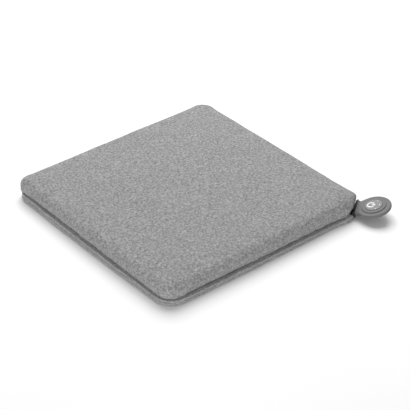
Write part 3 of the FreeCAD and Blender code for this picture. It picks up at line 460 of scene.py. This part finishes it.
finishes = {
    "felt_cover": felt("felt_cover", 0.15, 0.38),
    "felt_welt": felt("felt_welt", 0.18, 0.44, lump=2.6 * MM),
    "base_fabric": weave("base_fabric", grey(0.05), grey(0.11), thread=1.2 * MM),
    "label_satin": weave("label_satin", grey(0.62), grey(0.8), thread=0.35 * MM, shine=0.4),
    "collar_black": moulded("collar_black", grey(0.008), grey(0.016), rough=0.5),
    "anchor_plastic": moulded("anchor_plastic", grey(0.02), grey(0.035)),
    "zip_tape_weave": weave("zip_tape_weave", grey(0.05), grey(0.1), thread=0.5 * MM, directions=("X", "Z")),
    "zip_teeth_plastic": moulded("zip_teeth_plastic", grey(0.05), grey(0.08), rough=0.35),
    "zip_metal": metal("zip_metal", grey(0.35), grey(0.55), rough=0.3),
    "foam_firm": foam("foam_firm", grey(0.2), grey(0.34)),
    "foam_soft": foam("foam_soft", rgb(0.62, 0.6, 0.52), rgb(0.8, 0.78, 0.7), cell=1.8 * MM),
    "carrier_textile": weave("carrier_textile", grey(0.5), grey(0.7), thread=0.6 * MM),
    "carbon_ribbon": weave("carbon_ribbon", grey(0.01), grey(0.04), thread=0.4 * MM, shine=0.45),
    "lead_insulation": moulded("lead_insulation", rgb(0.35, 0.02, 0.015), rgb(0.5, 0.04, 0.03), rough=0.4),
    "cutout_case": metal("cutout_case", grey(0.5), grey(0.7), rough=0.35),
    "sensor_film": moulded("sensor_film", rgb(0.4, 0.2, 0.03), rgb(0.55, 0.3, 0.05), rough=0.25),
    "battery_case_plastic": moulded("battery_case_plastic", grey(0.025), grey(0.05), rough=0.5),
    "screw_steel": metal("screw_steel", grey(0.3), grey(0.5), rough=0.3),
    "cell_can": moulded("cell_can", rgb(0.02, 0.1, 0.22), rgb(0.04, 0.16, 0.32), rough=0.3),
    "nickel_strip": metal("nickel_strip", grey(0.5), grey(0.65), rough=0.25),
    "board_laminate": laminate("board_laminate"),
    "chip_black": moulded("chip_black", grey(0.012), grey(0.022), rough=0.45),
    "cable_jacket": moulded("cable_jacket", grey(0.015), grey(0.03), rough=0.45),
    "tab_rubber": moulded("tab_rubber", grey(0.13), grey(0.15), rough=0.55, Specular_IOR_Level=0.3),
    "switch_plastic": moulded("switch_plastic", grey(0.6), grey(0.75), rough=0.35),
    "led_lens": see_through("led_lens", rgb(0.85, 0.8, 0.6), rgb(0.95, 0.9, 0.75)),
    "socket_steel": metal("socket_steel", grey(0.5), grey(0.65), rough=0.25),
    "tongue_plastic": moulded("tongue_plastic", grey(0.01), grey(0.02), rough=0.4),
    "button_rubber": moulded("button_rubber", grey(0.2), grey(0.23), rough=0.5, Specular_IOR_Level=0.3),
    "symbol_white": see_through("symbol_white", grey(0.46), grey(0.54), glow=0.02),
    "window_clear": see_through("window_clear", grey(0.3), grey(0.38), glow=0.02),
}

for node in frame["nodes"].values():
    for place in node.material_slots:
        place.material = finishes[place.material.name]


# ---- The felt cover --------------------------------------------------------------------------
def crown_height(x, y):
    """Height of the crowned top."""
    half = WALL - ROLL_WIDE
    across = np.clip(1 - (x / half) ** 2, 0, 1) * np.clip(1 - (y / half) ** 2, 0, 1)
    return PAD_TOP - CROWN + CROWN * across**0.6


def crease_height(x, y):
    """Height of the wall's foot: on the welt, but over the collar and over the zip where they are."""
    level = CREASE_Z + seam_rise(x, y)
    over_collar = HINGE.z + COLLAR_RADIUS - 0.5 * MM
    level = level + (over_collar - level) * at_collar(x, y, COLLAR_HALF, COLLAR_HALF + 11 * MM)
    return level + (TAPE_HIGH.z - level) * at_zip(x, y)


def cover_rows(roll_rows, wall_rows):
    """The cover's side below the flat top, row by row: how far in, how far down the wall, and the plan radius."""
    rows = []
    for i in range(1, roll_rows + 1):
        angle = i / roll_rows * math.pi / 2
        share = i / roll_rows
        inset = ROLL_WIDE * (1 - math.sin(angle))
        corner = TOP_CORNER + (WALL_CORNER - TOP_CORNER) * share
        rows.append(("roll", inset, ROLL_DEEP * (1 - math.cos(angle)), corner))
    for i in range(1, wall_rows + 1):
        share = i / wall_rows
        corner = WALL_CORNER + (CREASE_CORNER - WALL_CORNER) * share**2
        curve = math.sqrt(1 - (TUCK_REACH * share) ** TUCK_POWER)
        rows.append(("wall", CREASE_TUCK * (1 - curve) / TUCK_SCALE, share, corner))
    return rows


def cover_shape(cells, roll_rows, wall_rows):
    """Points and faces of the whole closed cover, and which points are in its seam or below it."""
    line = np.arange(-cells, cells + 1)
    grid_x, grid_y = [a.ravel() for a in np.meshgrid(line, line)]
    ring = np.maximum(abs(grid_x), abs(grid_y)) / cells
    half = WALL - ROLL_WIDE
    x, y = rounded(grid_x / cells * half, grid_y / cells * half, half * ring, TOP_CORNER * ring**2)
    points = [np.stack([x, y, crown_height(x, y)], 1)]
    wide = 2 * cells + 1
    faces = [
        (r * wide + c, r * wide + c + 1, (r + 1) * wide + c + 1, (r + 1) * wide + c)
        for r in range(2 * cells) for c in range(2 * cells)
    ]
    loop_x, loop_y = square_loop(cells)
    count = len(loop_x)
    border = (loop_y + cells) * wide + loop_x + cells
    edge_z = PAD_TOP - CROWN
    foot = edge_z - ROLL_DEEP
    full_corner = 1 - LESS_TUCK * smooth((loop_y - loop_x) / (2 * cells), LESS_TUCK_FROM, LESS_TUCK_TO)
    for kind, inset, down, corner in cover_rows(roll_rows, wall_rows):
        inset = inset * full_corner if kind == "wall" else inset
        half = WALL - inset
        x, y = rounded(loop_x / cells * half, loop_y / cells * half, half, corner)
        z = np.full(count, edge_z - down) if kind == "roll" else foot + (crease_height(x, y) - foot) * down
        low = 1 - smooth(z, foot - 2 * MM, edge_z - 1 * MM)
        x, y = bowed(*opened(x, y, half, corner, COVER_BEHIND + inset / 3, low))
        points.append(np.stack([x, y, z], 1))
    crease = points[-1]
    pinned_from = sum(len(p) for p in points) - count
    for inwards, drop in ((2.4 * MM, 0.6 * MM), (5.6 * MM, 1.0 * MM), (6.0 * MM, None)):
        reach = np.hypot(crease[:, 0], crease[:, 1])
        scale = 1 - inwards / reach
        z = np.full(count, HIDDEN_Z) if drop is None else crease[:, 2] - drop
        points.append(np.stack([crease[:, 0] * scale, crease[:, 1] * scale, z], 1))
    for share in (0.8, 0.5, 0.2):
        points.append(np.stack([crease[:, 0] * share, crease[:, 1] * share, np.full(count, HIDDEN_Z)], 1))
    start = wide * wide
    side_rings = len(points) - 1
    faces += [(border[i], border[(i + 1) % count], start + (i + 1) % count, start + i) for i in range(count)]
    faces += [tuple(start + k for k in f) for f in ring_faces(side_rings, count)]
    whole = np.concatenate(points + [np.array([[0, 0, HIDDEN_Z]])])
    last_ring = start + (side_rings - 1) * count
    faces += [(last_ring + i, last_ring + (i + 1) % count, len(whole) - 1) for i in range(count)]
    return whole, faces, pinned_from


def puffed():
    """Simulates the coarse cover under a little air pressure and gives its points before and after."""
    points, faces, pinned_from = cover_shape(CAGE_GRID, 6, 4)
    cage = new_mesh("cage", points, faces)
    group = cage.vertex_groups.new(name="sewn")
    group.add(list(range(pinned_from, len(points))), 1.0, "REPLACE")
    cloth = cage.modifiers.new("Cloth", "CLOTH")
    cloth.settings.quality = 6
    cloth.settings.mass = 0.4
    cloth.settings.tension_stiffness = 40
    cloth.settings.compression_stiffness = 40
    cloth.settings.bending_stiffness = 2
    cloth.settings.use_pressure = True
    cloth.settings.uniform_pressure_force = 4
    cloth.settings.vertex_group_mass = "sewn"
    cloth.settings.effector_weights.gravity = 0
    scene = bpy.context.scene
    for step in range(1, 21):
        scene.frame_set(step)
    shown = cage.evaluated_get(bpy.context.evaluated_depsgraph_get())
    after = np.array([v.co for v in shown.data.vertices], float)
    scene.frame_set(1)
    bpy.data.objects.remove(cage)
    return points, after


PUFF_CAP = 2.2 * MM            # the most that the simulated pressure may move the felt


def puff(points):
    """Moves the fine cover's points as the simulated coarse cover moved."""
    before, after = puffed()
    move = after - before
    length = np.linalg.norm(move, axis=1, keepdims=True)
    move = move * PUFF_CAP / (PUFF_CAP + length)
    tree = KDTree(len(before))
    for i, point in enumerate(before):
        tree.insert(point, i)
    tree.balance()
    moved = points.copy()
    for i, point in enumerate(points):
        found = tree.find_n(point, 8)
        share = np.array([1 / (distance + 1 * MM) ** 2 for _, _, distance in found])
        moved[i] += (share[:, None] * move[[index for _, index, _ in found]]).sum(0) / share.sum()
    return moved


def vertex_normals(obj):
    """The normal at each point of a mesh."""
    normals = np.zeros(len(obj.data.vertices) * 3, np.float32)
    obj.data.vertex_normals.foreach_get("vector", normals)
    return normals.reshape(-1, 3).astype(float)


def felt_cover():
    """The padded felt cover: simulated puff, gathers along the seam, pinched corners and a curly pile."""
    points, faces, _ = cover_shape(GRID, 16, 10)
    points = puff(points)
    cover = new_mesh("felt_cover", points, faces)
    normals = vertex_normals(cover)
    height = points[:, 2] - crease_height(points[:, 0], points[:, 1])
    near_seam = np.exp(-np.clip(height, 0, None) / (8 * MM)) * (points[:, 2] > HIDDEN_Z + 1 * MM)
    flat = points * np.array([1, 1, 0.15])
    gathers = wander(flat, 7 * MM, 1) * 1.2 * MM * near_seam
    sags = wander(points, 60 * MM, 2) * 0.5 * MM
    pile = wander(points, 4.2 * MM, 3, 3) * 0.22 * MM
    corner_x = abs(points[:, 0]) - (WALL - CREASE_CORNER)
    corner_y = abs(points[:, 1]) - (WALL - CREASE_CORNER)
    turn = np.arctan2(corner_y, corner_x) - math.pi / 4
    at_corner = (corner_x > 0) & (corner_y > 0) & (points[:, 0] - points[:, 1] < 1.5 * WALL)
    fold = -np.exp(-((abs(turn) - 0.26) / 0.13) ** 2) + 0.5 * np.exp(-((turn / 0.12) ** 2))
    pinch = np.where(at_corner, fold * 1.0 * MM * np.exp(-np.clip(height, 0, None) / (7 * MM)), 0)
    above = points[:, 2] > HIDDEN_Z + 0.5 * MM
    move = (gathers + sags + pile + pinch) * above
    points = points + normals * move[:, None]
    cover.data.vertices.foreach_set("co", points.ravel())
    cover.data.update()
    cover.data.materials.append(finishes["felt_cover"])
    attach(cover, "cushion")
    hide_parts("cover_top_panel")
    return cover


# ---- The welt and its stitches ---------------------------------------------------------------
# The welt's section, from its hidden inner top edge, over and down to its inner foot.
# Each point is how far in from the outer line (mm) and how high (share of the band's height).
WELT_SECTION = (
    (7.8, 0.9), (7.4, 1.12), (6.2, 1.10), (5.0, 1.05), (3.8, 1.03), (2.6, 1.04), (1.4, 1.01), (0.5, 0.93),
    (0.2, 0.82), (0.5, 0.70), (1.2, 0.60), (1.3, 0.53), (0.7, 0.46), (0.0, 0.38), (-0.2, 0.26), (0.2, 0.14),
    (1.4, 0.08), (7.8, 0.08),
)
GROOVE = 11                    # the section's point where the stitches lie
WELT_COUNT = 1320


def welt_rows():
    """The welt's points, one row for each point of its section."""
    s, x, y = even_loop(WELT_COUNT, BAND, BAND_CORNER, 0)
    circle = np.stack([x, y, np.zeros(WELT_COUNT)], 1)
    bulge = wander(circle, 30 * MM, 11) * 0.55 * MM
    lift = 1 + 0.06 * wander(circle, 24 * MM, 12)
    gather = 0.5 + 0.5 * np.cos(2 * math.pi * s / STITCH_PITCH)
    lumps = wander(circle, 4.5 * MM, 13) * 0.55 * MM
    under_collar = at_collar(x, y, COLLAR_HALF + 0.4 * MM, COLLAR_HALF + 3 * MM)
    beside_collar = at_collar(x, y, COLLAR_HALF + 6 * MM, COLLAR_HALF + 24 * MM) - under_collar
    top = (SEAM_Z + seam_rise(x, y)) * lift * (1 + 0.28 * beside_collar)
    top = top + (HINGE.z - COLLAR_RADIUS - 0.5 * MM - top) * under_collar
    top = top + (CHAIN_LOW.z - 2.1 * MM - top) * at_zip(x, y)
    rows = []
    for inset, share in WELT_SECTION:
        free = smooth(inset, 6.5, 3.5)
        inwards = inset * MM + free * (0.3 * MM * gather - bulge - lumps)
        _, x, y = even_loop(WELT_COUNT, BAND, BAND_CORNER, inwards)
        x, y = bowed(*opened(x, y, BAND, BAND_CORNER, BAND_BEHIND, 1.0))
        rows.append(np.stack([x, y, top * share], 1))
    return rows


def welt_band():
    """The folded band round the foot of the pad."""
    rows = welt_rows()
    faces = ring_faces(len(rows), WELT_COUNT, closed=True)
    band = piece("welt_band", np.concatenate(rows), faces, "cushion", "felt_welt")
    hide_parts("seam_welt")
    return rows


def capsule(length, radius, sides=8, ends=3):
    """Points and faces of a round-ended rod along X."""
    points, rings = [], []
    for end in (-1, 1):
        for i in range(ends):
            cap = 1 - i / ends if end < 0 else i / ends
            x = end * (length / 2 - radius) + end * radius * math.sin(cap * math.pi / 2)
            rings.append((x, radius * max(math.cos(cap * math.pi / 2), 0.2)))
    for x, r in rings:
        for k in range(sides):
            a = 2 * math.pi * k / sides
            points.append((x, r * math.cos(a), r * math.sin(a)))
    faces = ring_faces(len(rings), sides)
    faces.append(tuple(range(sides))[::-1])
    faces.append(tuple(range(len(points) - sides, len(points))))
    return points, faces


def welt_stitches(rows):
    """The row of thread along the welt's groove."""
    groove = rows[GROOVE]
    spacing = np.linalg.norm(groove[1] - groove[0])
    step = STITCH_PITCH / spacing
    frames = []
    for k in range(int(WELT_COUNT / step)):
        i = int(round(k * step)) % WELT_COUNT
        here, after = Vector(groove[i]), Vector(groove[(i + 2) % WELT_COUNT])
        if here.z < 0.5 * SEAM_Z:
            continue
        tangent = (after - Vector(groove[i - 2])).normalized()
        outwards = tangent.cross(Vector((0, 0, 1))).normalized()
        frames.append((here - outwards * 0.1 * MM, tangent, outwards, tangent.cross(outwards)))
    points, faces = tiled(*capsule(3.4 * MM, 0.42 * MM), frames)
    piece("welt_stitches", points, faces, "cushion", "zip_tape_weave")


# ---- The base --------------------------------------------------------------------------------
def base_panel():
    """The woven base panel with its soft edge."""
    count = 480
    rows = []
    for inset, z in ((150, 1.5), (60, 1.5), (6, 1.5), (1.2, 1.45), (0.3, 1.2), (0.0, 0.95), (0.3, 0.7), (1.2, 0.5),
                     (6, 0.5), (60, 0.5), (150, 0.5)):
        half = BASE_HIGH.x
        _, x, y = even_loop(count, half, 32 * MM, min(inset, 20) * MM)
        x, y = bowed(*opened(x, y, half, 32 * MM, 2.6 * MM, 1.0))
        scale = 1 - max(inset - 20, 0) * MM / half
        rows.append(np.stack([x * scale, y * scale, np.full(count, z * MM)], 1))
    points = np.concatenate(rows + [np.array([[0, 0, 1.5 * MM], [0, 0, 0.5 * MM]])])
    faces = ring_faces(len(rows), count)
    last = (len(rows) - 1) * count
    for i in range(count):
        j = (i + 1) % count
        faces.append((j, i, len(points) - 2))
        faces.append((last + i, last + j, len(points) - 1))
    base = piece("base_panel", points, faces, "cushion", "base_fabric")
    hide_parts("cover_base_panel")


def grip_dots():
    """Small rubber dots under the base, in staggered rows."""
    pitch, radius, rings, sides = 15 * MM, 2.4 * MM, 3, 12
    shape = []
    for r in range(rings):
        angle = r / rings * math.pi / 2
        for k in range(sides):
            a = 2 * math.pi * k / sides
            shape.append((radius * math.cos(angle) * math.cos(a), radius * math.cos(angle) * math.sin(a),
                          0.6 * MM * math.sin(angle)))
    shape.append((0, 0, 0.6 * MM))
    outline = ring_faces(rings, sides)
    top = (rings - 1) * sides
    outline += [(top + k, top + (k + 1) % sides, len(shape) - 1) for k in range(sides)]
    outline.append(tuple(range(sides))[::-1])
    frames = []
    reach = int(BASE_HIGH.x / pitch)
    for row in range(-reach, reach + 1):
        for column in range(-reach, reach + 1):
            x = (column + 0.5 * (row % 2)) * pitch
            y = row * pitch
            if max(abs(x), abs(y)) > BASE_HIGH.x - 20 * MM:
                continue
            frames.append(((x, y, 0.6 * MM), (1, 0, 0), (0, -1, 0), (0, 0, -1)))
    points, faces = tiled(shape, outline, frames)
    piece("grip_dots", points, faces, "cushion", "anchor_plastic")


# ---- The zip and the label -------------------------------------------------------------------
def zip_teeth():
    """Two rows of small moulded teeth, offset by half a pitch."""
    pitch = 1.7 * MM
    deep = CHAIN_HIGH.y - CHAIN_LOW.y
    row_high = 1.7 * MM
    shape, outline = bevelled_block((1.0 * MM, deep, row_high), 0.28 * MM)
    frames = []
    for upper in (0, 1):
        z = CHAIN_HIGH.z - row_high / 2 if upper else CHAIN_LOW.z + row_high / 2
        z += -0.18 * MM if upper else 0.18 * MM
        count = int((CHAIN_HIGH.x - CHAIN_LOW.x) / pitch)
        for k in range(count):
            x = CHAIN_LOW.x + (k + 0.5 + 0.5 * upper) * pitch
            if x < CHAIN_HIGH.x - 0.5 * MM:
                frames.append(((x, (CHAIN_LOW.y + CHAIN_HIGH.y) / 2, z), (1, 0, 0), (0, 1, 0), (0, 0, 1)))
    points, faces = tiled(shape, outline, frames)
    teeth = piece("zip_teeth", points, faces, "cushion", "zip_teeth_plastic")
    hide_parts("zip_chain")


def zip_tapes():
    """The two woven tapes, slightly wavy along their free edges."""
    count = 320
    x = np.linspace(TAPE_LOW.x, TAPE_HIGH.x, count)
    points, faces = [], []
    for low, high in ((TAPE_LOW.z, CHAIN_LOW.z + 0.3 * MM), (CHAIN_HIGH.z - 0.3 * MM, TAPE_HIGH.z + 0.6 * MM)):
        base = len(points)
        for y, z in ((TAPE_LOW.y, low), (TAPE_HIGH.y, low), (TAPE_HIGH.y + 0.1 * MM, (low + high) / 2),
                     (TAPE_HIGH.y, high), (TAPE_LOW.y, high), (TAPE_LOW.y - 0.1 * MM, (low + high) / 2)):
            points.extend((a, y + 0.12 * MM * math.sin(a / (9 * MM)), z) for a in x)
        for side in range(6):
            start, after = base + side * count, base + (side + 1) % 6 * count
            faces += [(start + i, start + i + 1, after + i + 1, after + i) for i in range(count - 1)]
        faces.append(tuple(base + side * count for side in range(6)))
        faces.append(tuple(base + side * count + count - 1 for side in range(6))[::-1])
    tapes = piece("zip_tapes", points, faces, "cushion", "zip_tape_weave")
    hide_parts("zip_tape")


def folded_label():
    """A blank satin label, folded at its outer end and drooping a little."""
    length = LABEL_HIGH.x - LABEL_LOW.x + 3 * MM
    thick = 0.3 * MM
    middle = []
    for i in range(9):
        t = i / 8
        middle.append((LABEL_LOW.x - 3 * MM + t * length, LABEL_HIGH.z - 0.15 * MM - 1.6 * MM * t**2, 1))
    outer = middle + [(x, z - 0.75 * MM, -1) for x, z, _ in reversed(middle)]
    outline = []
    for i, (x, z, side) in enumerate(outer):
        outline.append((x + (0.25 * MM if i in (8, 9) else 0), z + side * thick / 2))
    inner = [(x - (0.5 * MM if i in (8, 9) else 0), z - side * thick / 2) for i, (x, z, side) in enumerate(outer)]
    section = outline + inner[::-1]
    columns = 9
    points = []
    for c in range(columns):
        y = LABEL_LOW.y + (LABEL_HIGH.y - LABEL_LOW.y) * c / (columns - 1)
        ripple = 0.25 * MM * math.sin(c / (columns - 1) * math.pi)
        points.extend((x, y, z + ripple * (x - LABEL_LOW.x) / length) for x, z in section)
    faces = ring_faces(columns, len(section))
    faces.append(tuple(range(len(section)))[::-1])
    faces.append(tuple(range(len(points) - len(section), len(points))))
    label = piece("folded_label", points, faces, "cushion", "label_satin")
    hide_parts("care_label")


# ---- The foam inside -------------------------------------------------------------------------
FOAM_BELOW = 2.6 * MM          # how far the foam stays under the felt's outer face


def felt_height(x, y):
    """Height of the felt's outer face over a plan point, on the top and over the roll."""
    past_x = abs(x) - (WALL - WALL_CORNER)
    past_y = abs(y) - (WALL - WALL_CORNER)
    outside = np.hypot(np.maximum(past_x, 0), np.maximum(past_y, 0)) + np.minimum(np.maximum(past_x, past_y), 0)
    inset = np.clip(WALL_CORNER - outside, 0, ROLL_WIDE)
    drop = ROLL_DEEP * (1 - np.sqrt(1 - (1 - inset / ROLL_WIDE) ** 2))
    return crown_height(x, y) - drop


def soft_copy(node, name, slot, voxel, roughness):
    """A foam block: the CAD block remeshed, with slightly uneven faces and soft edges."""
    block = frame["nodes"][node].copy()
    block.data = block.data.copy()
    bpy.context.scene.collection.objects.link(block)
    remesh = block.modifiers.new("Remesh", "REMESH")
    remesh.mode = "VOXEL"
    remesh.voxel_size = voxel
    shown = block.evaluated_get(bpy.context.evaluated_depsgraph_get())
    points = np.array([v.co for v in shown.data.vertices], float)
    faces = [tuple(f.vertices) for f in shown.data.polygons]
    bpy.data.objects.remove(block)
    soft = piece(name, points, faces, "cushion", slot)
    points = points + vertex_normals(soft) * (wander(points, 9 * MM, 21) * roughness)[:, None]
    points[:, 2] = np.minimum(points[:, 2], felt_height(points[:, 0], points[:, 1]) - FOAM_BELOW)
    soft.data.vertices.foreach_set("co", points.ravel())
    soft.data.update()
    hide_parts(node)


# ---- Floor, light and camera -----------------------------------------------------------------
CAMERA_AZIMUTH = math.radians(-39.55)
CAMERA_ELEVATION = math.radians(34.0)
CAMERA_DISTANCE = 2.4805
CAMERA_TARGET = Vector((0.0211, -0.0186, 0))
CAMERA_LENS = 131.0
SURROUND = 0.35                # strength of the white surround


def camera():
    """The camera, looking down on the pad's near corner."""
    level = math.cos(CAMERA_ELEVATION)
    east, north = math.sin(CAMERA_AZIMUTH) * level, -math.cos(CAMERA_AZIMUTH) * level
    back = Vector((east, north, math.sin(CAMERA_ELEVATION)))
    data = bpy.data.cameras.new("camera")
    data.lens = CAMERA_LENS
    data.sensor_width = 36
    obj = bpy.data.objects.new("camera", data)
    obj.location = CAMERA_TARGET + back * CAMERA_DISTANCE
    obj.rotation_mode = "QUATERNION"
    obj.rotation_quaternion = (-back).to_track_quat("-Z", "Y")
    bpy.context.scene.collection.objects.link(obj)
    bpy.context.scene.camera = obj


def softbox(name, place, target, size, power):
    """A square area light that points at a target."""
    data = bpy.data.lights.new(name, "AREA")
    data.size = size
    data.energy = power
    obj = bpy.data.objects.new(name, data)
    obj.location = place
    obj.rotation_mode = "QUATERNION"
    obj.rotation_quaternion = (Vector(target) - Vector(place)).to_track_quat("-Z", "Y")
    bpy.context.scene.collection.objects.link(obj)


def studio():
    """A pale floor, a large softbox above and behind, a low one in front, and an even surround."""
    floor = new_mesh("floor", [(-6, -6, 0), (6, -6, 0), (6, 6, 0), (-6, 6, 0)], [(0, 1, 2, 3)])
    f = Finish("floor", Specular_IOR_Level=0.0)
    shade = f.noise(400 * MM, 2.0)
    tone = f.ramp(shade, [(0.3, grey(0.9)), (0.7, grey(0.92))])
    floor.data.materials.append(f.done(tone, f.spread(shade, 0.8, 0.9), f.bump(shade, 0.01 * MM)))
    world = bpy.data.worlds.new("surround")
    world.use_nodes = True
    world.node_tree.nodes["Background"].inputs["Color"].default_value = grey(1)
    world.node_tree.nodes["Background"].inputs["Strength"].default_value = SURROUND
    bpy.context.scene.world = world
    softbox("overhead", (0.9, 1.1, 2.0), (0, 0, 0), 2.3, 80)
    softbox("front", (-2.5, -2.0, 0.4), (0, 0, 0), 1.2, 60)
    bpy.context.scene.view_settings.view_transform = "Standard"


camera()
studio()
felt_cover()
welt_stitches(welt_band())
base_panel()
grip_dots()
zip_teeth()
zip_tapes()
folded_label()
soft_copy("foam_core", "foam_block", "foam_firm", 3.5 * MM, 0.15 * MM)
soft_copy("foam_topper", "foam_sheet", "foam_soft", 4.0 * MM, 0.2 * MM)
